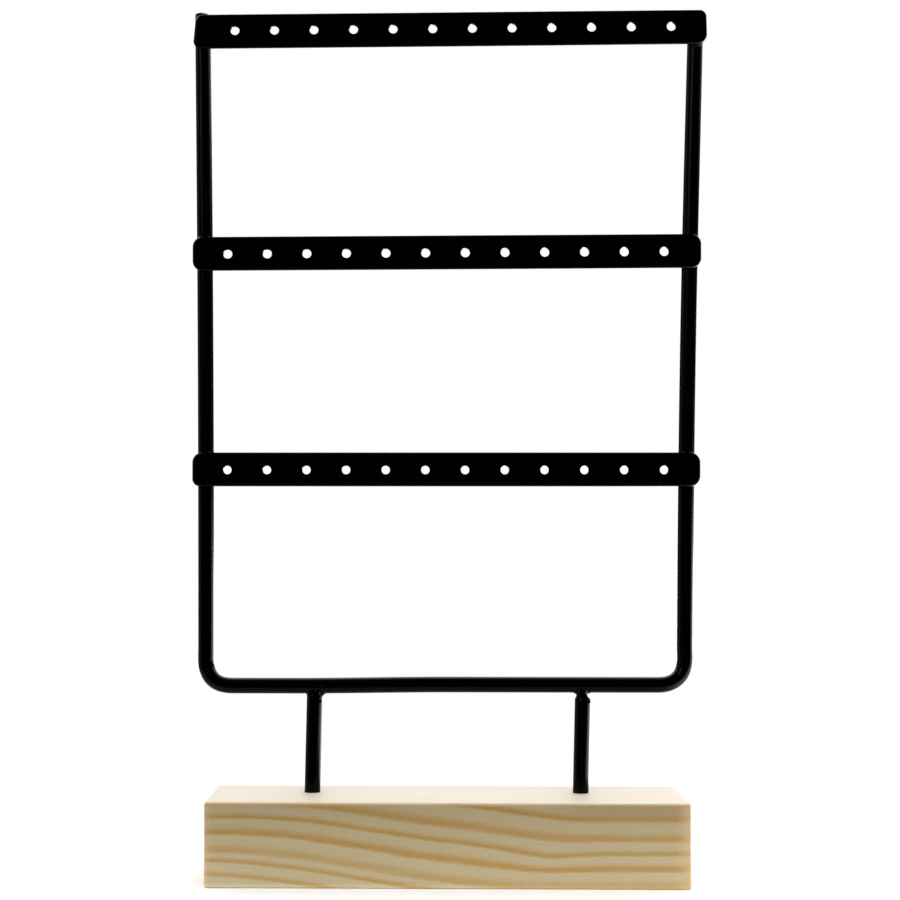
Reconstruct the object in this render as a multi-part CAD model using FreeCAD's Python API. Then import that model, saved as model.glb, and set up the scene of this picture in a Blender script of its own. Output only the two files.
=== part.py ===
import FreeCAD, Part
import math
import os
from FreeCAD import Vector

# Earring display stand: a pine block, two short posts, a round rod bent to a U, and three flat
# steel strips with a row of punched holes, welded across the front of the rod.
# Millimetres. The origin is the middle of the block's underside, +Z is up, and the front faces -Y.

# Pine block
block_width = 142.0
block_depth = 40.0
block_height = 25.0
block_edge_round = 0.8
block_foot_ease = 0.4

# Steel rod of the frame and the posts, measured over its black coat
rod_diameter = 4.5
rod_bend_radius = 7.5

# U frame: the plane of the rod, and its two legs, which open out towards their heads
frame_setback = 4.0
foot_spacing = 145.0
foot_shift = -0.4
left_leg_lean = 1.3
right_leg_lean = 4.0
left_head_rise = 1.2
right_head_rise = -0.6
head_chamfer = 0.6

# Posts between the block and the frame's bottom stretch, set a little out of plumb: at the height of
# the frame's bottom stretch their lines have moved to the right by the lean
post_spacing = 81.0
post_shift = 0.1
post_lean = 0.8
post_free_length = 32.6
post_seat_depth = 15.0
post_seat_clearance = 0.1

# Flat strips: section, and the holes punched along them
strip_height = 10.0
strip_thickness = 1.5
strip_corner_round = 3.0
strip_edge_ease = 0.25
hole_diameter = 2.8
hole_pitch = 12.0
hole_right_margin = 11.0
hole_left_margin_least = 9.5

# How far each strip lies above the one under it, the first above the frame's bottom stretch
strip_rise = {"bottom_bar": 65.0, "middle_bar": 65.8, "top_bar": 68.0}

# How far each strip's ends stand out past the centre lines of the legs
left_overhang = {"bottom_bar": 3.6, "middle_bar": 3.2, "top_bar": 2.6}
right_overhang = {"bottom_bar": 3.2, "middle_bar": 2.4, "top_bar": 3.1}

# The top strip's left end is sheared a little out of square: its lower corner stands further out
left_shear = {"bottom_bar": 0.0, "middle_bar": 0.0, "top_bar": 0.7}

# Welds of the strips: how deep a strip is pressed into the rod, and the bead laid round the contact
weld_set = 0.25
strip_bead_leg = 0.95
strip_bead_half_width = 1.5

# Welds of the posts: the gap that a round core fills between a post's head and the rod, and the two
# fillets that reach left and right along the rod and come down by the drop to their waist. The core
# and the waist stay inside the post's surface by their insets.
post_weld_gap = {"left": 0.4, "right": 1.6}
post_core_inset = 0.5
post_left_fillet = {"left": 1.0, "right": 1.8}
post_right_fillet = {"left": 2.3, "right": 0.9}
post_fillet_drop = {"left": 2.0, "right": 1.5}
post_waist_inset = {"left": 0.2, "right": 0.65}
post_fillet_half_width = 1.5

# What counts as the same height or depth when edges are looked up
nearness = 0.0001

sides = {"left": -1, "right": 1}
rod_radius = rod_diameter / 2
frame_y = frame_setback
rod_level = block_height + post_free_length
strip_back_y = frame_y - rod_radius + weld_set


def strip_levels():
    """The height of each strip's middle line, found by adding the rises from the bottom stretch up."""
    levels = {}
    level = rod_level
    for name, rise in strip_rise.items():
        level += rise
        levels[name] = level
    return levels


strip_level = strip_levels()
head_level = strip_level["top_bar"]


def leg_x(side, level):
    """Where the centre line of a leg is at a height; side is -1 for the left leg and 1 for the right."""
    lean = left_leg_lean if side < 0 else right_leg_lean
    part_way = (level - rod_level) / (head_level - rod_level)
    return foot_shift + side * (foot_spacing / 2 + lean * part_way)


def rounded_wire(points, radius, closed):
    """Straight runs through the points, with a tangent arc of one radius at each corner."""
    count = len(points)
    corners = range(count) if closed else range(1, count - 1)
    arcs = {}
    for i in corners:
        corner = points[i]
        back = (points[i - 1] - corner).normalize()
        ahead = (points[(i + 1) % count] - corner).normalize()
        half_angle = back.getAngle(ahead) / 2
        reach = radius / math.tan(half_angle)
        middle = (back + ahead).normalize()
        centre = corner + middle * (radius / math.sin(half_angle))
        arcs[i] = (corner + back * reach, centre - middle * radius, corner + ahead * reach)
    edges = []
    last = arcs[count - 1][2] if closed else points[0]
    for i in range(0 if closed else 1, count):
        start, through, end = arcs.get(i, (points[i], None, None))
        edges.append(Part.LineSegment(last, start).toShape())
        if through is not None:
            edges.append(Part.Arc(start, through, end).toShape())
            last = end
    return Part.Wire(edges)


def rounded_plate(points, radius, direction):
    """A flat plate: the rounded outline through the points, pushed along a direction."""
    return Part.Face(rounded_wire(points, radius, True)).extrude(direction)


def edges_on_level(solid, axis, value, within=nearness):
    """The edges of a solid that lie whole near the plane where one coordinate has the value."""
    found = []
    for edge in solid.Edges:
        box = edge.BoundBox
        low, high = (box.YMin, box.YMax) if axis == "y" else (box.ZMin, box.ZMax)
        if abs(low - value) < within and abs(high - value) < within:
            found.append(edge)
    return found


def post_x(side, level):
    """Where the centre line of a post is at a height."""
    return post_shift + side * post_spacing / 2 + post_lean * (level - block_height) / post_free_length


def leaning_rod(side, radius, low, high):
    """A round length on a post's leaning line, cut level at both ends."""
    start = Vector(post_x(side, low - radius), frame_y, low - radius)
    end = Vector(post_x(side, high + radius), frame_y, high + radius)
    length = (end - start).Length
    width = 4 * radius
    slab = Part.makeBox(width, width, high - low, Vector(start.x - width / 2, frame_y - width / 2, low))
    return Part.makeCylinder(radius, length, start, end - start).common(slab)


def make_block():
    """Sawn and sanded pine: eased edges all round, and a blind hole from the top for each post."""
    corner = Vector(-block_width / 2, -block_depth / 2, 0)
    block = Part.makeBox(block_width, block_depth, block_height, corner)
    upper_edges = [edge for edge in block.Edges if edge.BoundBox.ZMax > nearness]
    block = block.makeFillet(block_edge_round, upper_edges)
    block = block.makeChamfer(block_foot_ease, edges_on_level(block, "z", 0))
    for side in sides.values():
        bottom = block_height - post_seat_depth
        hole = leaning_rod(side, rod_radius + post_seat_clearance, bottom, block_height + rod_radius)
        block = block.cut(hole)
    return block


def make_strip(name):
    """A flat bar with round corners and one row of holes, its back face pressed into the rod's front."""
    level = strip_level[name]
    left = leg_x(-1, level) - left_overhang[name]
    right = leg_x(1, level) + right_overhang[name]
    low, high = level - strip_height / 2, level + strip_height / 2
    outline = [
        Vector(left, strip_back_y, low),
        Vector(right, strip_back_y, low),
        Vector(right, strip_back_y, high),
        Vector(left + left_shear[name], strip_back_y, high),
    ]
    front_y = strip_back_y - strip_thickness
    strip = rounded_plate(outline, strip_corner_round, Vector(0, -strip_thickness, 0))
    rims = edges_on_level(strip, "y", strip_back_y) + edges_on_level(strip, "y", front_y)
    strip = strip.makeChamfer(strip_edge_ease, rims)
    room = right - left - hole_right_margin - hole_left_margin_least
    for i in range(int(room / hole_pitch) + 1):
        start = Vector(right - hole_right_margin - i * hole_pitch, front_y - strip_thickness, level)
        punch = Part.makeCylinder(hole_diameter / 2, 3 * strip_thickness, start, Vector(0, 1, 0))
        strip = strip.cut(punch)
    return strip


def make_rod(strips):
    """One rod bent to a U, its legs open a little, with a shallow flat where each strip is pressed in."""
    left_head = head_level + strip_height / 2 + left_head_rise
    right_head = head_level + strip_height / 2 + right_head_rise
    route = [
        Vector(leg_x(-1, left_head), frame_y, left_head),
        Vector(leg_x(-1, rod_level), frame_y, rod_level),
        Vector(leg_x(1, rod_level), frame_y, rod_level),
        Vector(leg_x(1, right_head), frame_y, right_head),
    ]
    path = rounded_wire(route, rod_bend_radius, False)
    section = Part.Wire(Part.makeCircle(rod_radius, route[0], route[1] - route[0]))
    rod = path.makePipeShell([section], True, False)
    for head in (left_head, right_head):
        rod = rod.makeChamfer(head_chamfer, edges_on_level(rod, "z", head, head_chamfer))
    for strip in strips:
        rod = rod.cut(strip)
    return rod


def make_post(word):
    """A straight piece of the same rod, from the bottom of its hole up to the frame's bottom stretch."""
    foot = block_height - post_seat_depth
    head = rod_level - rod_radius - post_weld_gap[word]
    return leaning_rod(sides[word], rod_radius, foot, head)


def make_strip_weld(name, side, strip, rod):
    """One flat-faced bead round the crossing: down both grooves behind the strip and over its edges."""
    level = strip_level[name]
    low, high = level - strip_height / 2, level + strip_height / 2
    x_low, x_high = leg_x(side, low), leg_x(side, high)
    half = strip_bead_half_width
    corners = [
        Vector(x_low - half, strip_back_y, low),
        Vector(x_low + half, strip_back_y, low),
        Vector(x_high + half, strip_back_y, high),
        Vector(x_high - half, strip_back_y, high),
    ]
    middle = (corners[0] + corners[1]) / 2
    route = Part.makePolygon([middle, *corners[1:], corners[0], middle])
    leg = strip_bead_leg
    steps = [(leg, 0), (0, leg), (-leg, 0), (0, -leg), (leg, 0)]
    section = Part.makePolygon([middle + Vector(0, back, up) for back, up in steps])
    bead = route.makePipeShell([section], True, False, 1)
    return bead.cut(strip).cut(rod)


def make_post_weld(word, post, rod):
    """Two hollow fillets under the rod, left and right of a round core that joins it to the post."""
    under = rod_level - rod_radius
    x = post_x(sides[word], under)
    waist = rod_radius - post_waist_inset[word]
    reach = {-1: waist + post_left_fillet[word], 1: waist + post_right_fillet[word]}
    drop = post_fillet_drop[word]
    hollow = 1 - math.sqrt(0.5)

    def point(across, level):
        return Vector(x + across, frame_y - post_fillet_half_width, level)

    def hollow_side(way):
        end = reach[way]
        through = point(way * (waist + (end - waist) * hollow), under - drop * hollow)
        return Part.Arc(point(way * end, under), through, point(way * waist, under - drop)).toShape()

    outline = [
        Part.makeLine(point(reach[1], rod_level), point(reach[1], under)),
        hollow_side(1),
        Part.makeLine(point(waist, under - drop), point(-waist, under - drop)),
        hollow_side(-1),
        Part.makeLine(point(-reach[-1], under), point(-reach[-1], rod_level)),
        Part.makeLine(point(-reach[-1], rod_level), point(reach[1], rod_level)),
    ]
    fillets = Part.Face(Part.Wire(outline))
    bead = fillets.extrude(Vector(0, 2 * post_fillet_half_width, 0))
    foot = under - post_weld_gap[word]
    core = Part.makeCylinder(rod_radius - post_core_inset, rod_level - foot, Vector(x, frame_y, foot))
    return bead.fuse(core).cut(post).cut(rod).removeSplitter()


def save(name, shape):
    solids = shape.Solids
    solid = solids[0] if len(solids) == 1 else Part.makeCompound(solids)
    solid.exportStep(f"parts/{name}.step")
    print(f"{name}: {len(solids)} solid, {shape.Volume:.1f} mm3")


os.makedirs("parts", exist_ok=True)

strips = {name: make_strip(name) for name in strip_rise}
rod = make_rod(strips.values())
save("wood_base", make_block())
save("frame_rod", rod)
for name, strip in strips.items():
    save(name, strip)
    for word, side in sides.items():
        save(f"{name}_{word}_weld", make_strip_weld(name, side, strip, rod))
for word in sides:
    post = make_post(word)
    save(f"{word}_post", post)
    save(f"{word}_post_weld", make_post_weld(word, post, rod))
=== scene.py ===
import math

import bpy
import numpy as np
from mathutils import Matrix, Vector
from mathutils.geometry import delaunay_2d_cdt


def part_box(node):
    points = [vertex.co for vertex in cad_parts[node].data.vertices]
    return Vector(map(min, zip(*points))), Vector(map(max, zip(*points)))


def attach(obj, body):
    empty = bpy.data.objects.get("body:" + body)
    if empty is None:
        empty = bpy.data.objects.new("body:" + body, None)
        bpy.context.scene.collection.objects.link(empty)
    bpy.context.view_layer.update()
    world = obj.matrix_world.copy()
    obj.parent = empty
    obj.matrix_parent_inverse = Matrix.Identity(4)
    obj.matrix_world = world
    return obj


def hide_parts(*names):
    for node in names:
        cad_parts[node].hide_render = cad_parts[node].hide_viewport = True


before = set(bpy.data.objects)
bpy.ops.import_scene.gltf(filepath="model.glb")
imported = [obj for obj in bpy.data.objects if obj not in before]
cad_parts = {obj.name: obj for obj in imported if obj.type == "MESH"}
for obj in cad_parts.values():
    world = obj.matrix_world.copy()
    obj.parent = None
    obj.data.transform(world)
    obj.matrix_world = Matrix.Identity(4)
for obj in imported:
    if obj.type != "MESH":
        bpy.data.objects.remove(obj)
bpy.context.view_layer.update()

# The base is one block of sawn pine, sanded, with its edges eased by hand.
# Its growth rings run level at the left, step down through the middle and run level again at the
# right. The block stands on its own flat underside, and the posts are glued into two drilled holes.
mm = 0.001
block_low, block_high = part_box("wood_base")
block_half_width = block_high.x / mm
block_top = block_high.z / mm
block_front = block_low.y / mm


def put(tree, kind, inputs=None, **settings):
    """One node of a kind: its settings are made, then its inputs are linked from sockets or set to values."""
    node = tree.nodes.new(kind)
    for name, value in settings.items():
        setattr(node, name, value)
    for name, value in (inputs or {}).items():
        if isinstance(value, bpy.types.NodeSocket):
            tree.links.new(value, node.inputs[name])
        else:
            node.inputs[name].default_value = value
    return node


def maths(tree, operation, *values):
    """The result of one Math node on sockets or numbers."""
    return put(tree, "ShaderNodeMath", dict(enumerate(values)), operation=operation).outputs[0]


def times(tree, result, *others):
    """The first value multiplied by each of the others in turn."""
    for other in others:
        result = maths(tree, "MULTIPLY", result, other)
    return result


def plus(tree, result, *others):
    """The first value with each of the others added in turn."""
    for other in others:
        result = maths(tree, "ADD", result, other)
    return result


def minus(tree, first, second):
    """The first value less the second."""
    return maths(tree, "SUBTRACT", first, second)


def bell(tree, first, second):
    """A round hill of height 1: exp(-(first^2 + second^2))."""
    square = plus(tree, times(tree, first, first), times(tree, second, second))
    return maths(tree, "EXPONENT", times(tree, square, -1.0))


def ramp_between(tree, value, low, high, kind="SMOOTHSTEP"):
    """0 at low, 1 at high, and a smooth or straight climb between."""
    inputs = {"Value": value, "From Min": low, "From Max": high}
    node = put(tree, "ShaderNodeMapRange", inputs, interpolation_type=kind, clamp=True)
    return node.outputs["Result"]


def mix_colours(tree, share, first, second, kind="MIX"):
    """The first colour where the share is 0 and the second where it is 1.

    A Mix node's colour sockets are its inputs 6 and 7 and its output 2.
    """
    inputs = {0: share, 6: first, 7: second}
    node = put(tree, "ShaderNodeMix", inputs, data_type="RGBA", blend_type=kind, clamp_result=True)
    return node.outputs[2]


def new_material(name):
    """A material with an empty node tree, and the tree."""
    material = bpy.data.materials.new(name)
    material.use_nodes = True
    tree = material.node_tree
    tree.nodes.clear()
    return material, tree


def new_group(name, takes, gives):
    """A shader node group with named inputs and outputs, the sockets it is given and those it fills."""
    group = bpy.data.node_groups.new(name, "ShaderNodeTree")
    for label, kind in takes.items():
        group.interface.new_socket(label, in_out="INPUT", socket_type=kind)
    for label, kind in gives.items():
        group.interface.new_socket(label, in_out="OUTPUT", socket_type=kind)
    given = group.nodes.new("NodeGroupInput").outputs
    return group, given, group.nodes.new("NodeGroupOutput").inputs


# A latewood line's profile: where it starts and how it fades, with heights in its own half widths
line_start, line_round = (-1.9, -0.6), 0.2
line_fade, line_tail, line_tail_share = 0.5, 0.45, 0.2


def make_ring_line():
    """Latewood line's mask at a height d above the line, in half widths of the line.

    It starts between d = -1.9 and -0.6 and fades upwards as 0.8 exp(-0.5 p^2) + 0.2 exp(-0.45 p), with
    p = max(d + 0.2, 0), all of it times the line's depth of colour.
    """
    takes = {label: "NodeSocketFloat" for label in ("Height", "Line", "Half Width", "Depth of Colour")}
    group, given, result = new_group("ring_line", takes, {"Mask": "NodeSocketFloat"})
    away = maths(group, "DIVIDE", minus(group, given["Height"], given["Line"]), given["Half Width"])
    start = ramp_between(group, away, *line_start)
    past = maths(group, "MAXIMUM", plus(group, away, line_round), 0.0)
    fade = maths(group, "EXPONENT", times(group, past, past, -line_fade))
    tail = maths(group, "EXPONENT", times(group, past, -line_tail))
    fade = times(group, fade, 1 - line_tail_share)
    tail = times(group, tail, line_tail_share)
    mask = times(group, start, plus(group, fade, tail), given["Depth of Colour"])
    group.links.new(mask, result["Mask"])
    return group


# Heights of the latewood lines where they run level at the left, their half widths and how dark each is
ring_lines = [
    (-6.9, 0.8, 0.8), (-2.3, 0.6, 0.8), (4.37, 0.55, 0.8), (8.19, 0.55, 0.9), (11.54, 0.95, 0.72),
    (16.6, 0.85, 1.0), (21.0, 0.6, 0.95), (25.43, 0.95, 0.9), (31.03, 0.7, 1.0), (34.95, 0.5, 0.9),
    (40.9, 0.6, 0.8), (46.2, 0.9, 0.9),
]
step_drop, step_left, step_run = 10.47, -69.25, 105.87
step_slant, step_pivot = 0.856, 12.0
# Two soft swirls in the rings: middle across and up, reach across and up, and how far they press down
swirls = [(29.8, 9.1, 12.0, 3.5, 0.89), (10.5, 17.4, 16.0, 11.0, -0.88)]
pith_level, shell_depth = 88.0, 0.8
wobble_reach, fray_reach = 0.7, 0.9
# Noise in the wood: patches a millimetre across, front to back and up, then detail and roughness
grain = {
    "wobble": (0.06, 0.05, 0.2, 2.0, 0.5),
    "fray": (0.12, 0.9, 2.4, 5.0, 0.72),
    "fibre": (0.09, 2.4, 3.4, 5.0, 0.7),
    "speckle": (0.9, 1.6, 1.8, 3.0, 0.7),
    "broad": (0.02, 0.06, 0.10, 2.0, 0.5),
    "patches": (0.05, 0.3, 0.5, 2.0, 0.5),
    "pores": (0.12, 3.0, 3.4, 1.0, 0.5),
}


def wood_noise(tree, place, kind):
    """Smooth noise between 0 and 1, stretched and roughened as the grain table says for its kind."""
    across, deep, up, detail, roughness = grain[kind]
    stretch = put(tree, "ShaderNodeMapping", {"Vector": place, "Scale": (across, deep, up)})
    inputs = {"Vector": stretch.outputs[0], "Scale": 1.0, "Detail": detail, "Roughness": roughness}
    return put(tree, "ShaderNodeTexNoise", inputs).outputs["Fac"]


def find_ring_height(tree, place):
    """Height that a point's ring has where the rings run level at the left, in millimetres.

    The step and the swirls are undone: h = z + drop * ramp(x - slant * (z - pivot)) + press * bell. The
    rings are shells about a far pith at level p, so the height is p - sqrt((p - h)^2 + behind^2). Noise
    wobbles h and frays the height.
    """
    x, y, z = put(tree, "ShaderNodeSeparateXYZ", {0: place}).outputs
    slant = times(tree, minus(tree, z, step_pivot), step_slant)
    step = ramp_between(tree, minus(tree, x, slant), step_left, step_left + step_run)
    raised = plus(tree, z, times(tree, step, step_drop))
    for middle_x, middle_z, reach_x, reach_z, press in swirls:
        off_x = maths(tree, "DIVIDE", minus(tree, x, middle_x), reach_x)
        off_z = maths(tree, "DIVIDE", minus(tree, z, middle_z), reach_z)
        raised = plus(tree, raised, times(tree, bell(tree, off_x, off_z), press))
    wobble = times(tree, minus(tree, wood_noise(tree, place, "wobble"), 0.5), wobble_reach)
    below = minus(tree, pith_level, plus(tree, raised, wobble))
    behind = times(tree, minus(tree, y, block_front), shell_depth)
    square = plus(tree, times(tree, below, below), times(tree, behind, behind))
    height = minus(tree, pith_level, maths(tree, "SQRT", square))
    fray = times(tree, minus(tree, wood_noise(tree, place, "fray"), 0.5), fray_reach)
    return plus(tree, height, fray)


# A short dark fleck on the front: its middle, its fall to the right, how tight, how deep and how dark it is
fleck_x, fleck_z, fleck_fall = 41.4, 13.3, 0.33
fleck_tight_up, fleck_tight_along = 3.2, 0.5
fleck_deep, fleck_dark = 2.0, 0.45


def find_latewood(tree, place):
    """How far a point lies in latewood: the strongest of the ring lines and of the fleck."""
    height = find_ring_height(tree, place)
    line_group = make_ring_line()
    late = 0.0
    for line, half_width, depth in ring_lines:
        inputs = {"Height": height, "Line": line, "Half Width": half_width, "Depth of Colour": depth}
        drawn = put(tree, "ShaderNodeGroup", inputs, node_tree=line_group)
        late = maths(tree, "MAXIMUM", drawn.outputs["Mask"], late)
    x, y, z = put(tree, "ShaderNodeSeparateXYZ", {0: place}).outputs
    along = minus(tree, x, fleck_x)
    fall = times(tree, along, fleck_fall)
    up = times(tree, plus(tree, minus(tree, z, fleck_z), fall), fleck_tight_up)
    fleck = times(tree, bell(tree, up, times(tree, along, fleck_tight_along)), fleck_dark)
    fleck = times(tree, fleck, maths(tree, "LESS_THAN", y, block_front + fleck_deep))
    return maths(tree, "MAXIMUM", late, fleck)


pine_early = (0.572, 0.459, 0.270, 1.0)
pine_early_warm = (0.588, 0.459, 0.257, 1.0)
# Paler earlywood, laid on low on the front: painted bounce light from the floor
pine_low_painted_bounce = (0.765, 0.645, 0.395, 1.0)
pine_late = (0.500, 0.295, 0.064, 1.0)
# Paler latewood, laid on low on the front: painted bounce light from the floor
pine_late_painted_bounce = (0.65, 0.39, 0.105, 1.0)
# Paler, oranger wood at the ends: painted highlight where the rounded ends catch the side light
pine_end_painted_highlight = (0.95, 0.66, 0.32, 1.0)
# Paler, whiter wood on the top face: painted sheen of the overhead light
pine_top_painted_sheen = (0.745, 0.69, 0.59, 1.0)
# Brighter, oranger wood on the eased top edge of the front: painted highlight where it turns up to the light
pine_arris_painted_highlight = (0.78, 0.54, 0.22, 1.0)
pine_rosy = (0.503, 0.38, 0.228, 1.0)
# Where each colour comes in, from nothing to its full share, in millimetres. Most of them paint light and
# shade: floor bounce low on the front and at its foot, highlights at the ends and on the top arris, the
# overhead light's sheen on the top, and shade along the top's front edge
painted_bounce_limits = (block_top - 1.0, 2.0)
rosy_limits_x, rosy_limits_z = (20.0, 48.0), (block_top - 6.8, block_top - 3.2)
right_end_limits = (block_half_width - 5.0, block_half_width)
left_end_limits = (3.0 - block_half_width, -block_half_width)
arris_limits, top_limits = (block_top - 1.4, block_top - 0.6), (block_top - 0.9, block_top - 0.1)
top_late_limits = (block_top - 0.02, block_top - 0.25)
# Painted shade on the top along its front edge, strongest at the left
painted_edge_shade_limits_x, painted_edge_shade_limits_y = (45.0, -75.0), (block_front + 4.5, block_front)
painted_bounce_foot_limits = (1.9, 0.1)
# The full shares themselves, and how much paler the foot and each millimetre to the right are: painted
# bounce light from the floor at the foot and painted light from the right
painted_left_end_highlight_share, painted_end_highlight_share, painted_arris_highlight_share, painted_edge_shade_share = 0.6, 0.55, 0.5, 0.5
painted_sheen_share, top_late_share = 0.72, 0.25
painted_bounce_at_foot, painted_light_from_right = 0.34, 0.0006
# Where noise turns the earlywood warm and opens pores, and how much it changes the rest
warm_limits, pore_limits, pore_share = (0.35, 0.65), (0.70, 0.78), 0.16
late_least, late_more = 0.72, 0.5
streak_least, streak_fibre, streak_speckle = 0.75, 0.24, 0.26


def colour_pine(tree, place, late, fibre):
    """Earlywood with each further colour laid over it by its share, then darkened by streaks and pores.

    The low, end, arris and top colours are painted light: bounce from the floor, highlights, and the overhead
    light's sheen on the top, taken back along the top's front edge as painted shade. The streaks are made
    paler at the foot and to the right, which is painted light too.
    """
    x, y, z = put(tree, "ShaderNodeSeparateXYZ", {0: place}).outputs
    # Paler towards the bottom of the front: painted bounce light from the floor
    lower = ramp_between(tree, z, *painted_bounce_limits, kind="LINEAR")
    rosy = times(tree, ramp_between(tree, x, *rosy_limits_x), ramp_between(tree, z, *rosy_limits_z))
    patchy = plus(tree, times(tree, wood_noise(tree, place, "patches"), late_more), late_least)
    # Paler ends, more at the right: painted highlight where the rounded ends catch the side light
    left_end = times(tree, ramp_between(tree, x, *left_end_limits), painted_left_end_highlight_share)
    end = maths(tree, "MAXIMUM", ramp_between(tree, x, *right_end_limits), left_end)
    # Painted highlight along the eased top edge of the front
    arris = times(tree, ramp_between(tree, z, *arris_limits), painted_arris_highlight_share)
    top = ramp_between(tree, z, *top_limits)
    top_late = times(tree, ramp_between(tree, z, *top_late_limits), top_late_share, late)
    # Less of the top's painted sheen near its front edge at the left: painted shade
    painted_edge_shade = ramp_between(tree, y, *painted_edge_shade_limits_y)
    painted_edge_shade = times(tree, painted_edge_shade, ramp_between(tree, x, *painted_edge_shade_limits_x), painted_edge_shade_share)
    # Paler top face: painted sheen of the overhead light, less over latewood and less where its front edge is
    # shaded
    painted_sheen = times(tree, top, minus(tree, painted_sheen_share, top_late), minus(tree, 1.0, painted_edge_shade))

    warm = ramp_between(tree, wood_noise(tree, place, "broad"), *warm_limits)
    colour = mix_colours(tree, warm, pine_early, pine_early_warm)
    late_colour = mix_colours(tree, lower, pine_late, pine_late_painted_bounce)
    for share, shade in (
        (lower, pine_low_painted_bounce), (rosy, pine_rosy), (times(tree, late, patchy), late_colour),
        (times(tree, end, painted_end_highlight_share), pine_end_painted_highlight), (arris, pine_arris_painted_highlight), (painted_sheen, pine_top_painted_sheen),
    ):
        colour = mix_colours(tree, share, colour, shade)

    speckle = times(tree, wood_noise(tree, place, "speckle"), streak_speckle)
    streak = plus(tree, times(tree, fibre, streak_fibre), streak_least, speckle)
    # Paler at the foot: painted bounce light from the floor, against the contact shade there
    foot = times(tree, ramp_between(tree, z, *painted_bounce_foot_limits), painted_bounce_at_foot)
    # Paler towards the right, except on the top: painted light from the right
    across = times(tree, x, painted_light_from_right, minus(tree, 1.0, top))
    streak = times(tree, streak, plus(tree, foot, across, 1.0))
    grey = put(tree, "ShaderNodeCombineColor", {0: streak, 1: streak, 2: streak}).outputs[0]
    colour = mix_colours(tree, 1.0, colour, grey, "MULTIPLY")
    pores = times(tree, ramp_between(tree, wood_noise(tree, place, "pores"), *pore_limits), pore_share)
    return mix_colours(tree, pores, colour, pine_late)


wood_rough, wood_rough_fibre, wood_rough_late = 0.46, 0.14, 0.06
relief_fibre, relief_late, relief_depth, relief_strength = 0.5, 0.35, 0.06, 0.5
wood_ior, wood_sheen, wood_sheen_rough = 1.45, 0.6, 0.5


def make_pine():
    """Pine coloured from its rings, its fibre and where a point lies on the block, with a faint relief;
    where it lies paints in light and shade.
    """
    material, tree = new_material("pine_sanded")
    place = put(tree, "ShaderNodeTexCoord").outputs["Object"]
    place = put(tree, "ShaderNodeVectorMath", {0: place, "Scale": 1 / mm}, operation="SCALE").outputs[0]
    late = find_latewood(tree, place)
    fibre = wood_noise(tree, place, "fibre")
    rough = plus(tree, times(tree, fibre, wood_rough_fibre), wood_rough)
    rough = minus(tree, rough, times(tree, late, wood_rough_late))
    relief = plus(tree, times(tree, fibre, relief_fibre), times(tree, late, relief_late))
    bump = put(tree, "ShaderNodeBump", {
        "Strength": relief_strength, "Distance": relief_depth * mm, "Height": relief,
    })
    skin = put(tree, "ShaderNodeBsdfPrincipled", {
        "Base Color": colour_pine(tree, place, late, fibre), "Roughness": rough, "IOR": wood_ior,
        "Sheen Weight": wood_sheen, "Sheen Roughness": wood_sheen_rough, "Normal": bump.outputs[0],
    })
    put(tree, "ShaderNodeOutputMaterial", {"Surface": skin.outputs[0]})
    return material


pine = make_pine()
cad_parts["wood_base"].material_slots[0].material = pine


# The frame rod is one length of steel rod, bent cold round a former at its two lower corners.
# Its legs lean a little, its sawn heads are rounded over, and the whole frame is powder coated black
# after welding: a thin semi-gloss coat with a faint orange peel.
coat_black = (0.0006, 0.0006, 0.0007, 1.0)
coat_thickness = 0.15
coat_rough, coat_rough_more, coat_patch = 0.11, 0.12, 9.0
peel_pitch, peel_depth, peel_strength = 0.7, 0.03, 0.35
coat_ior, coat_specular = 1.5, 0.07
rod_low, rod_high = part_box("frame_rod")
rod_radius = (rod_high.y - rod_low.y) / 2 / mm + coat_thickness
rod_level = rod_low.z / mm + rod_radius - coat_thickness
frame_y = (rod_high.y + rod_low.y) / 2 / mm
# Values that differ from leg to leg are given by side: -1 is the left one and 1 the right one
right_head_lower = 1.8
head_levels = {-1: rod_high.z / mm, 1: rod_high.z / mm - right_head_lower}
head_slopes = {-1: 0.13, 1: 0.0}
head_slope_reach, head_slope_start, head_round = 4.0, 0.3, 0.6
legs_middle, leg_out, lean_rise = -0.4, 72.5, 198.8
leg_leans, leg_bows = {-1: 1.3, 1: 3.93}, {-1: 0.30, 1: 0.67}
bend_reach, bend_fullness = 8.6, 2.6
sag_depth, sag_reach = 0.42, 45.0
sag_end_low, sag_end_high = 62.0, 90.0
# Points along each stretch, round the rod and over a rounded end, and the least squared radius of an end
leg_steps, bend_steps, foot_steps = 90, 28, 60
rod_around, round_steps = 40, 12
tip_square = 1e-4


def make_coat():
    """Black powder coat: orange peel from fine noise, and patches that are a little duller than the rest."""
    material, tree = new_material("coat_black")
    place = put(tree, "ShaderNodeTexCoord").outputs["Object"]

    def noise(pitch, detail):
        """Smooth noise between 0 and 1 with one patch in each pitch."""
        inputs = {"Vector": place, "Scale": 1 / pitch, "Detail": detail}
        return put(tree, "ShaderNodeTexNoise", inputs).outputs["Fac"]

    dull = plus(tree, times(tree, noise(coat_patch * mm, 3.0), coat_rough_more), coat_rough)
    peel = put(tree, "ShaderNodeBump", {
        "Strength": peel_strength, "Distance": peel_depth * mm, "Height": noise(peel_pitch * mm, 1.5),
    })
    skin = put(tree, "ShaderNodeBsdfPrincipled", {
        "Base Color": coat_black, "Roughness": dull, "IOR": coat_ior,
        "Specular IOR Level": coat_specular, "Normal": peel.outputs[0],
    })
    put(tree, "ShaderNodeOutputMaterial", {"Surface": skin.outputs[0]})
    return material


def leg_x(side, level):
    """Middle of a leg at a level: m + side * (out + lean * t - bow * sin(pi t)), t its share of the rise."""
    share = (level - rod_level) / lean_rise
    bow = leg_bows[side] * np.sin(np.pi * np.clip(share, 0, 1))
    return legs_middle + side * (leg_out + leg_leans[side] * share - bow)


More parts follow.
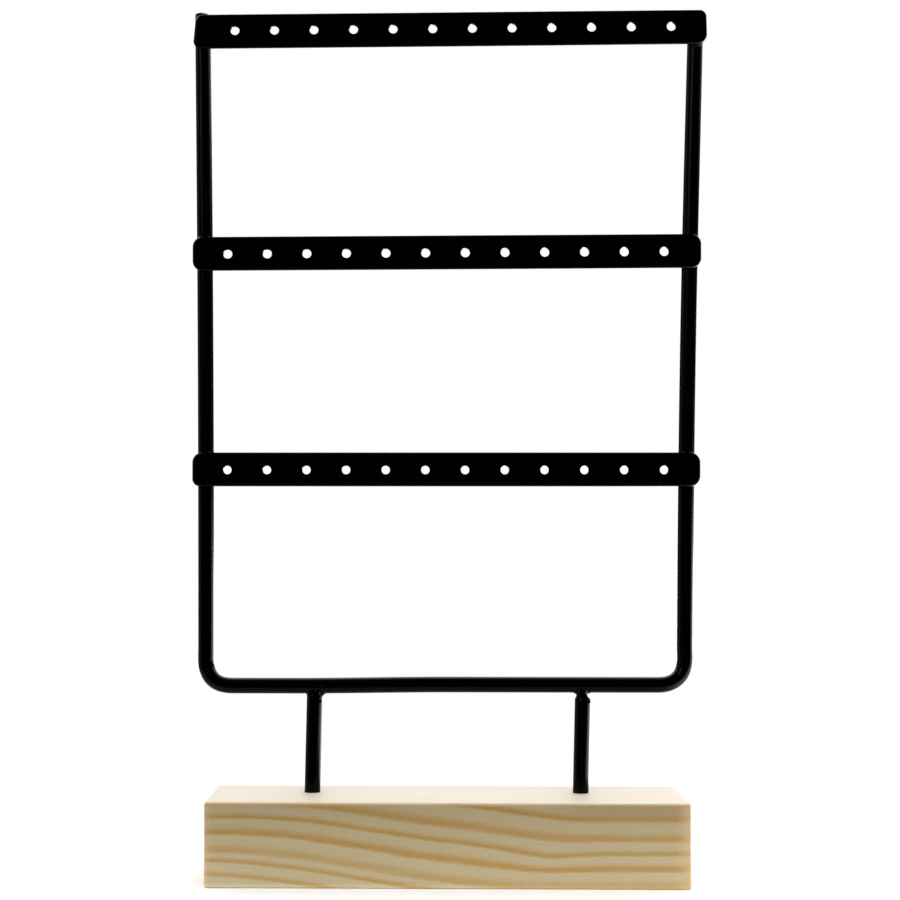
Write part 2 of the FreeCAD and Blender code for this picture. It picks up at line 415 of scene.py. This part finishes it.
def eased(value, low, high):
    """0 below low, 1 above high, and a smooth climb t * t * (3 - 2 t) between."""
    share = np.clip((value - low) / (high - low), 0, 1)
    return share * share * (3 - 2 * share)


def rod_sag(x):
    """How far the rod's foot hangs below its level: deepest at the left, easing to nothing at the middle."""
    return sag_depth * eased(-x, 0.0, sag_reach)


def bend(start, corner, end, reach, fullness, steps):
    """Points that round a corner on a fuller curve than an arc, from reach before it to reach after it.

    Drawn in from the corner by reach * (1 - sin(a)^p) along the one leg and reach * (1 - cos(a)^p) along
    the other, p = 2 / fullness, so that a fullness of 2 is a circle's arc.
    """
    to_start = (start - corner) / np.linalg.norm(start - corner)
    to_end = (end - corner) / np.linalg.norm(end - corner)
    turn = np.linspace(0, np.pi / 2, steps)[:, None]
    along_start = 1 - np.clip(np.sin(turn), 0, 1) ** (2 / fullness)
    along_end = 1 - np.clip(np.cos(turn), 0, 1) ** (2 / fullness)
    return corner + reach * (along_start * to_start + along_end * to_end)


def tube(path, radius, around, closed=False):
    """Rings of a round bar: path + radius * (cos u * side + sin u * back), side square to the path."""
    ahead = np.roll(path, -1, 0) - np.roll(path, 1, 0) if closed else np.gradient(path, axis=0)
    ahead /= np.linalg.norm(ahead, axis=1, keepdims=True)
    back = np.array([0.0, 1.0, 0.0])
    side = np.cross(ahead, back)
    turn = np.linspace(0, 2 * np.pi, around, endpoint=False)
    spokes = np.cos(turn)[None, :, None] * side[:, None] + np.sin(turn)[None, :, None] * back
    return path[:, None] + np.broadcast_to(radius, (len(path), around))[:, :, None] * spokes


def rounded_ends(path, radius, rounding):
    """Radius along a path: radius * sqrt(1 - (1 - s / rounding)^2) within rounding of an end."""
    steps = np.linalg.norm(np.diff(path, axis=0), axis=1)
    along = np.concatenate([[0], np.cumsum(steps)])
    from_end = np.minimum(along, along[-1] - along)
    inside = np.clip(1 - from_end / rounding, 0, 1)
    return (radius * np.sqrt(np.maximum(1 - inside ** 2, tip_square)))[:, None]


def eased_line(start, end, rounding, steps):
    """Points from a bar's end to its middle, drawn close together where the end is rounded."""
    reach = np.linalg.norm(end - start)
    near = rounding * (1 - np.cos(np.linspace(0, np.pi / 2, round_steps))) / reach
    far = np.linspace(near[-1], 1, steps)[1:]
    return start + (end - start) * np.concatenate([near, far])[:, None]


def join_rows(grid):
    """Quads that join the rows of a grid of point numbers whose columns close on themselves."""
    beside = np.roll(grid, -1, axis=1)
    return np.stack([grid[:-1], beside[:-1], beside[1:], grid[1:]], axis=-1).reshape(-1, 4)


def add_mesh(name, node, points, faces, smooth):
    """A coated piece from its points in millimetres, which stands in for a node where one is named."""
    mesh = bpy.data.meshes.new(name)
    mesh.from_pydata((points * mm).tolist(), [], faces)
    mesh.polygons.foreach_set("use_smooth", smooth)
    mesh.materials.append(coat)
    mesh.update()
    piece = bpy.data.objects.new(name, mesh)
    bpy.context.scene.collection.objects.link(piece)
    if node:
        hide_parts(node)
    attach(piece, "root")


def add_piece(name, node, rings, closed=False):
    """A coated piece from its rings, joined by quads and capped at its ends, with its faces outward."""
    grid = np.arange(rings.shape[0] * rings.shape[1]).reshape(rings.shape[:2])
    points = rings.reshape(-1, 3)
    quads = join_rows(np.concatenate([grid, grid[:1]]) if closed else grid)
    corners = points[quads]
    across = np.cross(corners[:, 2] - corners[:, 0], corners[:, 3] - corners[:, 1])
    outward = np.sum(across * (corners.mean(axis=1) - points.mean(axis=0))) > 0
    faces = (quads if outward else quads[:, ::-1]).tolist()
    if not closed:
        first, last = grid[0].tolist(), grid[-1].tolist()
        faces += [first[::-1], last] if outward else [first, last[::-1]]
    add_mesh(name, node, points, faces, [True] * len(faces))


def make_rod():
    """The bent rod: down the left leg, round two bends and up the right, its left head cut at a slope."""
    corners = {side: np.array([leg_x(side, rod_level), frame_y, rod_level]) for side in (-1, 1)}
    heads = {}
    for side, level in head_levels.items():
        heads[side] = np.array([leg_x(side, level), frame_y, level])
    left = bend(heads[-1], corners[-1], corners[1], bend_reach, bend_fullness, bend_steps)
    right = bend(corners[-1], corners[1], heads[1], bend_reach, bend_fullness, bend_steps)
    foot = np.linspace(left[-1], right[0], foot_steps)[1:-1]
    legs = {}
    for side, end in ((-1, left[0]), (1, right[-1])):
        legs[side] = eased_line(heads[side], end, head_round, leg_steps)[:-1]
        legs[side][:, 0] = leg_x(side, legs[side][:, 2])
    path = np.concatenate([legs[-1], left, foot, right, legs[1][::-1]])
    path[:, 2] -= rod_sag(path[:, 0]) * (1 - eased(path[:, 2], sag_end_low, sag_end_high))
    rings = tube(path, rounded_ends(path, rod_radius, head_round), rod_around)
    for side in (-1, 1):
        x, level = rings[:, :, 0], rings[:, :, 2]
        near = np.clip((level - head_levels[side] + head_slope_reach) / head_slope_reach, 0, 1)
        across = np.maximum(x - leg_x(side, level) + head_slope_start * rod_radius, 0)
        level -= near * (np.sign(x) == side) * head_slopes[side] * across
    add_piece("rod_bent", "frame_rod", rings)


coat = make_coat()
make_rod()

# The posts are two short lengths of the same rod, sawn square, glued in the block and butted up to the
# frame rod. Both lean right, and the coat rounds their heads.
post_seat = 10.0
post_heads = {"left_post": 54.95, "right_post": 53.75}
post_sides = {"left_post": -1, "right_post": 1}
posts_middle, post_out = 0.05, 40.6
post_lean, post_rise = 0.8, 32.6
post_foot_round, post_head_round, post_steps = 0.3, 0.45, 20


def post_x(side, level):
    """Middle of a post at a level: it stands post_out aside and leans right by post_lean over its rise."""
    return posts_middle + side * post_out + post_lean * (level - block_top) / post_rise


def eased_bar(foot, head, foot_rounding, head_rounding, steps):
    """Points from foot to head, drawn close together at both ends."""
    centre = (foot + head) / 2
    down = eased_line(head, centre, head_rounding, steps)[:-1]
    return np.concatenate([eased_line(foot, centre, foot_rounding, steps), down[::-1]])


for name, side in post_sides.items():
    foot = np.array([post_x(side, post_seat), frame_y, post_seat])
    head = np.array([post_x(side, post_heads[name]), frame_y, post_heads[name]])
    path = eased_bar(foot, head, post_foot_round, post_head_round, post_steps)
    add_piece("rod_" + name, name, tube(path, rounded_ends(path, rod_radius, post_head_round), rod_around))

# The three bars are flat steel strip with rounded corners, each punched with a row of twelve round holes.
# They lie across the front of the legs, a little out of true, and the coat rounds all their edges.
bar_depth = 1.5
bar_round, hole_round = 0.72, 0.22
# Corner radii run from the top right, anticlockwise
bar_corners = {
    "bottom_bar": (3.0, 3.0, 2.3, 3.0),
    "middle_bar": (3.0, 3.0, 3.0, 3.0),
    "top_bar": (2.1, 2.4, 2.6, 3.2),
}
hole_count = 12
hole_radii = {"bottom_bar": 1.28, "middle_bar": 1.375, "top_bar": 1.345}
hole_pitches = {"bottom_bar": 12.0, "middle_bar": 12.02, "top_bar": 12.04}
hole_margins = {"bottom_bar": 10.85, "middle_bar": 11.13, "top_bar": 10.88}
hole_lifts = {"bottom_bar": -0.19, "middle_bar": -0.16, "top_bar": 0.15}
bar_slopes = {"bottom_bar": -0.0006, "middle_bar": 0.0031, "top_bar": 0.0044}
bar_pivots = {"bottom_bar": 0.0, "middle_bar": -62.0, "top_bar": -38.0}
bar_lifts = {"bottom_bar": 0.17, "middle_bar": 0.0, "top_bar": 0.0}
bar_heights_more = {"bottom_bar": 0.0, "middle_bar": 0.05, "top_bar": 0.14}
# The ends are out of square within end_reach of each
end_reach = 6.0
left_end_slants = {"bottom_bar": 0.0, "middle_bar": 0.0, "top_bar": 1.0}
right_end_shifts = {"bottom_bar": 0.08, "middle_bar": 0.06, "top_bar": 0.07}
right_end_slants = {"bottom_bar": 0.0, "middle_bar": 0.0, "top_bar": 0.25}
corner_steps, bar_edge_steps = 14, 7
hole_around, hole_edge_steps = 40, 5
rim_share, merge_distance = 0.99, 1e-6


def bar_outline(length, height, corners, steps):
    """Rectangle about the origin with four rounded corners, anticlockwise, and the way out at each point.

    Each corner is middle + radius * (cos a, sin a) over its own quarter turn of a.
    """
    turn = np.linspace(0, np.pi / 2, steps) + np.arange(4)[:, None] * np.pi / 2
    ways = np.stack([np.cos(turn), np.sin(turn)], axis=2)
    radii = np.array(corners)[:, None]
    middles = np.array([(1, 1), (-1, 1), (-1, -1), (1, -1)]) * (np.array([length, height]) / 2 - radii)
    points = middles[:, None] + radii[:, :, None] * ways
    return points.reshape(-1, 2), ways.reshape(-1, 2)


def edge_band(points, ways, depth, rounding, steps):
    """Rounded edge carried along a loop, from the back face to the front one.

    At angle a it is drawn in by rounding * (1 - cos a) and stands rounding * sin a towards its face.
    """
    angle = np.linspace(0, np.pi / 2, steps)
    inset = rounding * (1 - np.cos(angle))
    level = depth / 2 - rounding + rounding * np.sin(angle)
    inset, level = np.concatenate([inset[::-1], inset]), np.concatenate([-level[::-1], level])
    flat = points[None] - inset[:, None, None] * ways[None]
    return np.concatenate([flat, np.broadcast_to(level[:, None, None], flat.shape[:2] + (1,))], axis=2)


def bar_bands(name, length, height, holes):
    """Edge bands of a bar: the first runs round its outline, and the others line its holes."""
    points, ways = bar_outline(length, height, bar_corners[name], corner_steps)
    bands = [edge_band(points, ways, bar_depth, bar_round, bar_edge_steps)]
    turn = np.linspace(0, -2 * np.pi, hole_around, endpoint=False)
    circle = np.stack([np.cos(turn), np.sin(turn)], axis=1)
    for hole in holes:
        rim = hole + hole_radii[name] * circle
        bands.append(edge_band(rim, -circle, bar_depth, hole_round, hole_edge_steps))
    return bands


def fill_face(points, loops, holes, rim_radius):
    """Triangles between the loops, from a triangulation that keeps the loops' edges.

    A triangle is dropped where its centre is nearer to a hole's middle than rim_share of the rim's
    radius. That leaves slivers about 0.02 mm wide in the rims, between three neighbouring points.
    """
    order = np.concatenate(loops)
    edges, begun = [], 0
    for loop in loops:
        here = begun + np.arange(len(loop))
        edges += np.stack([here, np.roll(here, -1)], axis=1).tolist()
        begun += len(loop)
    found = delaunay_2d_cdt(points[order].tolist(), edges, [], 0, merge_distance)
    triangles = np.array(found[2])
    centres = points[order][triangles].mean(axis=1)
    from_hole = np.hypot(centres[:, :1] - holes[:, 0], centres[:, 1:] - holes[:, 1])
    in_hole = (from_hole < rim_share * rim_radius).any(axis=1)
    return order[triangles[~in_hole]]


def place_bar(name, points, length, height, middle):
    """A bar's points at its place: each end slanted and shifted by how near it is, and the bar tilted."""
    x, up, out = points.T
    from_left = np.clip((x + length / 2) / end_reach, 0, 1)
    x = x + (1 - from_left) * left_end_slants[name] * up / height
    from_right = np.clip((length / 2 - x) / end_reach, 0, 1)
    slant = right_end_slants[name] * (0.5 + up / height)
    x = x + (1 - from_right) * (right_end_shifts[name] - slant)
    x = x + middle[0]
    z = middle[2] + up + bar_lifts[name] + bar_slopes[name] * (x - bar_pivots[name])
    return np.stack([x, middle[1] - out, z], axis=1)


def make_bar(name):
    """Bar of rounded edge bands round its outline and holes, with its two flat faces filled between them."""
    low, high = (np.array(corner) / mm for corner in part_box(name))
    length = high[0] - low[0]
    height = high[2] - low[2] + 2 * coat_thickness + bar_heights_more[name]
    hole_xs = length / 2 - hole_margins[name] - hole_pitches[name] * np.arange(hole_count)
    holes = np.stack([hole_xs, np.full(hole_count, hole_lifts[name])], axis=1)
    bands = bar_bands(name, length, height, holes)
    grids, begun = [], 0
    for band in bands:
        count = band.shape[0] * band.shape[1]
        grids.append(begun + np.arange(count).reshape(band.shape[:2]))
        begun += count
    points = np.concatenate([band.reshape(-1, 3) for band in bands])
    quads = np.concatenate([join_rows(grid) for grid in grids])
    rim_radius = hole_radii[name] + hole_round
    front = fill_face(points[:, :2], [grid[-1] for grid in grids], holes, rim_radius)
    mirror = np.concatenate([grid[::-1].ravel() for grid in grids])
    back = mirror[front][:, ::-1]
    faces = quads.tolist() + front.tolist() + back.tolist()
    smooth = [True] * len(quads) + [False] * (len(front) + len(back))
    places = place_bar(name, points, length, height, (low + high) / 2)
    add_mesh("flat_" + name, name, places, faces, smooth)


for name in bar_slopes:
    make_bar(name)

# A bead of weld runs round each crossing of a bar and a leg, behind the bar. It stands out a little
# above and below the bar, and it is rippled and uneven as a hand-run bead is.
bar_levels = {"bottom_bar": 122.6, "middle_bar": 188.4, "top_bar": 256.4}
bead_half_widths = {"bottom_bar": 1.75, "middle_bar": 1.75, "top_bar": 1.45}
bead_top_heights = {"bottom_bar": 5.05, "middle_bar": 5.05, "top_bar": 4.5}
bead_bottom_heights = {
    "bottom_bar": {-1: 4.05, 1: 4.05},
    "middle_bar": {-1: 4.05, 1: 4.05},
    "top_bar": {-1: 4.05, 1: 4.7},
}
bead_radius, bead_y, bead_squareness = 0.70, 1.92, 0.5
bead_wide_wave, bead_slow_wave, bead_quick_wave = 0.10, 0.09, 0.05
bead_ripples, bead_ripple_height, bead_ripple_drift = 26, 0.05, 0.6
bead_start_step = 1.3
bead_steps, bead_around = 216, 18


def make_bead(bar, name, side, level, start):
    """Bead on a squarish loop: x = a * c^0.5, z = b * s^0.5, its radius wavy and rippled on the way round."""
    turn = np.linspace(0, 2 * np.pi, bead_steps, endpoint=False)
    cosine, sine = np.cos(turn), np.sin(turn)
    wide = bead_half_widths[bar] * (1 + bead_wide_wave * np.sin(2 * turn + start))
    x = wide * np.sign(cosine) * np.abs(cosine) ** bead_squareness
    high = np.where(sine > 0, bead_top_heights[bar], bead_bottom_heights[bar][side])
    z = high * np.sign(sine) * np.abs(sine) ** bead_squareness
    path = np.stack([leg_x(side, level + z) + x, np.full_like(x, bead_y), level + z], axis=1)
    slow = bead_slow_wave * np.sin(3 * turn + start)
    quick = bead_quick_wave * np.sin(7 * turn + 2 * start)
    drift = bead_ripple_drift * np.sin(5 * turn + start)
    rippled = bead_ripple_height * np.abs(np.sin(bead_ripples / 2 * turn + drift))
    radius = bead_radius * (1 + slow + quick + rippled)
    add_piece("bead_" + name, name, tube(path, radius[:, None], bead_around, True), True)


for order, (bar, level) in enumerate(bar_levels.items()):
    for word, side in (("left", -1), ("right", 1)):
        make_bead(bar, bar + "_" + word + "_weld", side, level, bead_start_step * order + side)

# Each post is welded to the underside of the rod by a small uneven fillet. The left one spreads mostly
# to the right; the right one draws in to a neck above the post's head and then spreads to the left.
# A grain of spatter is left on the right of each post, just under the weld.
collar_right = {"left_post": 2.3, "right_post": 0.5}
collar_left = {"left_post": 0.7, "right_post": 1.5}
neck_right = {"left_post": 0.0, "right_post": 0.85}
neck_left = {"left_post": 0.0, "right_post": 0.38}
neck_share = {"left_post": 0.2, "right_post": 0.5}
collar_drop = {"left_post": 1.9, "right_post": 0.35}
flare_power, flare_tuck, flare_wave, flare_climb = 1.4, 0.5, 0.06, 2.4
neck_least, collar_sink = 0.03, 0.15
foot_tuck, foot_edge = 0.3, 0.04
cap_rise, cap_share = 0.4, 0.6
collar_around, collar_rows = 72, 26
spatter_radius, spatter_out, spatter_level = 0.55, 1.72, 52.6
spatter_lean, spatter_round = 0.1, 0.56
spatter_steps, spatter_around = 3, 20


def make_collar(post):
    """Collar from the post's side to the rod's underside, drawn in to a neck and flared above it.

    At turn u the collar leaves the post at radius r, passes the neck at r - n(u) and ends at r + f(u)
    on the rod, whose underside is at rod_level - sqrt(r * r - y * y). A smaller ring closes its foot
    inside the post, and a narrower one its head inside the rod.
    """
    side = post_sides[post]
    turn = np.linspace(0, 2 * np.pi, collar_around, endpoint=False)
    cosine, sine = np.cos(turn), np.sin(turn)
    flare = np.where(cosine > 0, collar_right[post], collar_left[post]) * np.abs(cosine) ** flare_power
    flare = flare - flare_tuck * sine ** 2 + flare_wave * np.sin(5 * turn + side)
    neck = np.where(cosine > 0, neck_right[post], neck_left[post]) * np.abs(cosine) + neck_least
    low = post_heads[post] - collar_drop[post]
    y_top = (rod_radius + flare) * sine
    top = rod_level - np.sqrt(np.maximum(rod_radius ** 2 - y_top ** 2, 0.0)) + collar_sink
    share = np.linspace(0, 1, collar_rows)[:, None]
    level = low + (top - low) * share
    below = np.clip(1 - share / neck_share[post], 0, 1) ** 2
    above = np.clip((share - neck_share[post]) / (1 - neck_share[post]), 0, 1) ** flare_climb
    radius = rod_radius - neck + neck * below + (neck + flare) * above
    rings = np.stack([post_x(side, level) + radius * cosine, frame_y + radius * sine, level], axis=2)
    first, last = rings[:1].copy(), rings[-1:].copy()
    first[:, :, 0] = post_x(side, low) + (rod_radius - foot_tuck) * cosine
    first[:, :, 1] = frame_y + (rod_radius - foot_tuck) * sine
    rings[0, :, 0] -= foot_edge * cosine
    rings[0, :, 1] -= foot_edge * sine
    last[:, :, 2] += cap_rise
    last[:, :, 1] = frame_y + (last[:, :, 1] - frame_y) * cap_share
    add_piece("collar_" + post, post + "_weld", np.concatenate([first, rings, last]))


def make_spatter(post):
    """A grain of spatter: a round bead on the post's front, a little right of its middle."""
    x = post_x(post_sides[post], spatter_level) + spatter_out
    y = frame_y - np.sqrt(rod_radius ** 2 - spatter_out ** 2)
    foot = np.array([x, y, spatter_level - spatter_radius])
    head = foot + np.array([spatter_lean, 0.0, 2 * spatter_radius])
    path = eased_bar(foot, head, spatter_radius, spatter_radius, spatter_steps)
    radius = rounded_ends(path, spatter_radius, spatter_round)
    add_piece("spatter_" + post, None, tube(path, radius, spatter_around))


for name in post_sides:
    make_collar(name)
    make_spatter(name)

# Floor: a plain white sheet that runs out of sight behind and to the right, and ends a little way in
# front of the block and to its left, so the frame mirrors the dark room beyond it there.
# The camera sees it lifted to white where no shadow lies, and the coat mirrors its right side bright.
floor_front, floor_left, floor_far = -0.09, -0.24, 6.0
floor_colour = (0.85, 0.85, 0.85, 1.0)
floor_lift, floor_glare = 0.15, 7.0
floor_white_limits, floor_mirrored_limits = (0.13, 0.34), (0.06, 0.12)


def make_floor():
    """A flat sheet at the block's underside, lifted for the camera, and plain white far from the block."""
    corners = [
        (floor_left, floor_front, 0), (floor_far, floor_front, 0),
        (floor_far, floor_far, 0), (floor_left, floor_far, 0),
    ]
    mesh = bpy.data.meshes.new("floor")
    mesh.from_pydata(corners, [], [(0, 1, 2, 3)])
    floor = bpy.data.objects.new("floor", mesh)
    bpy.context.scene.collection.objects.link(floor)
    material, tree = new_material("floor_white")
    path = put(tree, "ShaderNodeLightPath").outputs
    seen = maths(tree, "MAXIMUM", path["Is Camera Ray"], path["Is Transmission Ray"])
    place = put(tree, "ShaderNodeTexCoord").outputs["Object"]
    away = put(tree, "ShaderNodeVectorMath", {0: place}, operation="LENGTH").outputs["Value"]
    across = put(tree, "ShaderNodeSeparateXYZ", {0: place}).outputs["X"]
    on_right = ramp_between(tree, across, *floor_mirrored_limits)
    mirrored = times(tree, path["Is Glossy Ray"], on_right)
    far = times(tree, ramp_between(tree, away, *floor_white_limits), seen)
    far = maths(tree, "MAXIMUM", far, mirrored)
    matt = put(tree, "ShaderNodeBsdfDiffuse", {"Color": floor_colour}).outputs[0]
    lift = put(tree, "ShaderNodeEmission", {"Strength": times(tree, seen, floor_lift)}).outputs[0]
    near = put(tree, "ShaderNodeAddShader", {0: matt, 1: lift}).outputs[0]
    glare = plus(tree, times(tree, mirrored, floor_glare - 1.0), 1.0)
    white = put(tree, "ShaderNodeEmission", {"Strength": glare}).outputs[0]
    both = put(tree, "ShaderNodeMixShader", {0: far, 1: near, 2: white}).outputs[0]
    put(tree, "ShaderNodeOutputMaterial", {"Surface": both})
    mesh.materials.append(material)


make_floor()

# Light: one large soft box overhead and a little in front, which is for the matt surfaces, and a pale
# tent over and behind the stand, dim at its left. Its right side is bright above a low dark gap. The
# front is a dark room with a window at its left, high enough to show only in the legs' upper halves.
tent_top, tent_right, tent_gap, tent_left = 2.0, 2.2, 0.05, 0.45
tent_mirrored = 1.8
# How far aside, back or up a direction points where each wall of the tent comes in, from 0 to full
gap_limits_up = (0.17, 0.22)
right_limits_aside, right_limits_back = (-0.4, 0.6), (-0.35, 0.35)
left_limits_aside, left_limits_back, left_limits_far = (0.2, -0.8), (-0.45, 0.1), (0.8, 0.1)
over_limits_back, over_limits_up = (-0.12, 0.5), (0.15, 0.55)
window_way = Vector((-0.62, -0.76, 0.22)).normalized()
window_light, window_inner, window_outer = 1.25, 5.0, 19.0
window_limits_up = (0.10, 0.21)
box_size, box_power = 1.0, 12.0
box_place = Vector((0.12, -0.40, 1.1))


def make_tent():
    """World light that climbs from the dark front over the top to the white back; the camera sees white."""
    world = bpy.data.worlds.new("tent")
    bpy.context.scene.world = world
    world.use_nodes = True
    tree = world.node_tree
    tree.nodes.clear()
    way = put(tree, "ShaderNodeTexCoord").outputs["Generated"]
    aside, behind, aloft = put(tree, "ShaderNodeSeparateXYZ", {0: way}).outputs
    gap = ramp_between(tree, aloft, *gap_limits_up)
    right = times(
        tree, plus(tree, times(tree, gap, tent_right - tent_gap), tent_gap),
        ramp_between(tree, aside, *right_limits_aside), ramp_between(tree, behind, *right_limits_back),
    )
    left = times(
        tree, ramp_between(tree, aside, *left_limits_aside), tent_left,
        ramp_between(tree, behind, *left_limits_back), ramp_between(tree, behind, *left_limits_far),
    )
    over = times(tree, ramp_between(tree, behind, *over_limits_back), tent_top)
    raised = ramp_between(tree, aloft, *over_limits_up)
    wall = times(tree, plus(tree, left, right), minus(tree, 1.0, raised))
    wall = plus(tree, wall, times(tree, over, raised))
    dot = put(tree, "ShaderNodeVectorMath", {0: way, 1: window_way}, operation="DOT_PRODUCT")
    cosines = [math.cos(math.radians(angle)) for angle in (window_outer, window_inner)]
    window = times(
        tree, ramp_between(tree, dot.outputs["Value"], *cosines),
        ramp_between(tree, aloft, *window_limits_up), window_light,
    )
    path = put(tree, "ShaderNodeLightPath").outputs
    mirrored = plus(tree, times(tree, path["Is Glossy Ray"], tent_mirrored - 1.0), 1.0)
    light = times(tree, plus(tree, wall, window), mirrored)
    seen = path["Is Camera Ray"]
    strength = plus(tree, times(tree, light, minus(tree, 1.0, seen)), seen)
    back = put(tree, "ShaderNodeBackground", {"Color": (1, 1, 1, 1), "Strength": strength})
    put(tree, "ShaderNodeOutputWorld", {"Surface": back.outputs[0]})


def make_soft_box():
    """A square area light overhead, a little in front, turned to the block."""
    data = bpy.data.lights.new("soft_box", "AREA")
    data.size = box_size
    data.energy = box_power
    box = bpy.data.objects.new("soft_box", data)
    bpy.context.scene.collection.objects.link(box)
    box.location = box_place
    box.rotation_mode = "QUATERNION"
    box.rotation_quaternion = (-box_place).to_track_quat("-Z", "Y")
    box.visible_camera = False
    box.visible_glossy = False


make_tent()
make_soft_box()

# Camera: a little lower than the bottom bar and a little left of the middle, turned slightly left and
# tipped up.
camera_place = Vector((-6.67, -629.1, 106.3)) * mm
camera_turn, camera_tip = math.radians(1.265), math.radians(1.288)
camera_lens, camera_film = 83.32, 36.0
camera_shift = (0.08, 0.03)
camera_near, camera_far = 0.01, 100.0

camera_data = bpy.data.cameras.new("camera")
camera = bpy.data.objects.new("camera", camera_data)
bpy.context.scene.collection.objects.link(camera)
ahead = Vector((
    -math.sin(camera_turn) * math.cos(camera_tip),
    math.cos(camera_turn) * math.cos(camera_tip),
    math.sin(camera_tip),
))
camera.location = camera_place
camera.rotation_mode = "QUATERNION"
camera.rotation_quaternion = ahead.to_track_quat("-Z", "Y")
camera_data.lens = camera_lens
camera_data.sensor_width = camera_film
camera_data.shift_x, camera_data.shift_y = camera_shift
camera_data.clip_start, camera_data.clip_end = camera_near, camera_far
bpy.context.scene.camera = camera
bpy.context.scene.view_settings.view_transform = "Standard"
